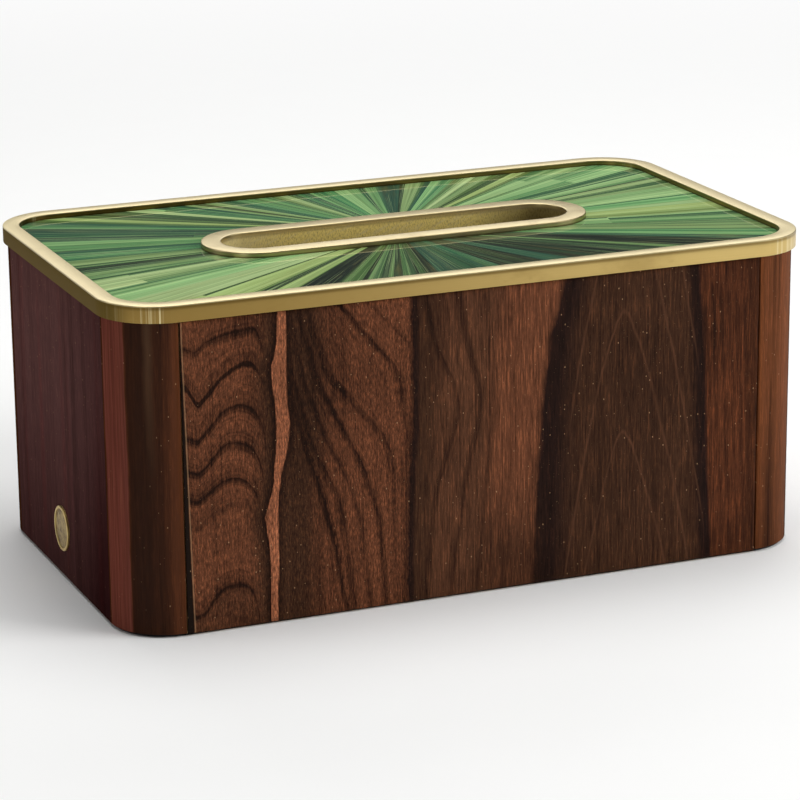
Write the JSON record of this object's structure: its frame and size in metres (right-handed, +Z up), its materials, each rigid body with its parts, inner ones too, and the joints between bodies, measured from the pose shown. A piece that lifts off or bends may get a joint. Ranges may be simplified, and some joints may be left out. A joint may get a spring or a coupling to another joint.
{
  "type": "tissue box with drawer",
  "caption": "Oblong wooden tissue box with rounded corners, a brass rim, a straw sunburst top with a brass-lined slot, and a full-width refill drawer in front.",
  "frame": {"origin": "centre of the box's footprint, on the surface that it stands on", "axes": "+X along the long side towards the end without the medallion, -Y out of the drawer's front, +Z up"},
  "size_m": [0.264, 0.1538, 0.1176],
  "materials": {
    "rosewood_post": "straight-grained dark rosewood under gloss lacquer",
    "rosewood_end": "purple-brown rosewood veneer under gloss lacquer",
    "rosewood_front": "figured rosewood veneer under gloss lacquer",
    "board_core": "plain birch plywood core",
    "drawer_wood": "oiled pale hardwood",
    "brass_satin": "satin polished brass",
    "brass_hammered": "satin flange, finely textured sleeve",
    "brass_coin": "satin brass, bare middle",
    "straw": "dyed green split straw under gloss lacquer",
    "felt_black": "black felt",
    "felt_lining": "dark green-black felt",
    "steel_screw": "zinc-plated steel",
    "magnet": "nickel-plated magnet"
  },
  "bodies": {
    "case": {"post_front_left": "rosewood_post", "post_front_right": "rosewood_post", "post_back_left": "rosewood_post", "post_back_right": "rosewood_post", "end_panel_left": "board_core", "end_panel_right": "board_core", "back_panel": "board_core", "veneer_end_left": "rosewood_end", "veneer_end_right": "rosewood_end", "veneer_back": "rosewood_end", "base_board": "board_core", "base_felt": "felt_black", "top_board": "board_core", "straw_sunburst": "straw", "brass_rim": "brass_satin", "slot_ring": "brass_hammered", "medallion": "brass_coin", "runner_left": "drawer_wood", "runner_right": "drawer_wood", "runner_screws": "steel_screw", "drawer_stops": "drawer_wood", "stop_screws": "steel_screw", "catch_magnets": "magnet"},
    "drawer": {"drawer_front": "board_core", "drawer_veneer": "rosewood_front", "drawer_side_left": "drawer_wood", "drawer_side_right": "drawer_wood", "drawer_back": "drawer_wood", "drawer_bottom": "board_core", "drawer_lining": "felt_lining", "catch_plates": "steel_screw"}
  },
  "joints": [
    {"name": "drawer_slide", "type": "slide", "parent": "case", "child": "drawer", "axis": [0, -1, 0], "range_m": [0, 0.1]}
  ]
}
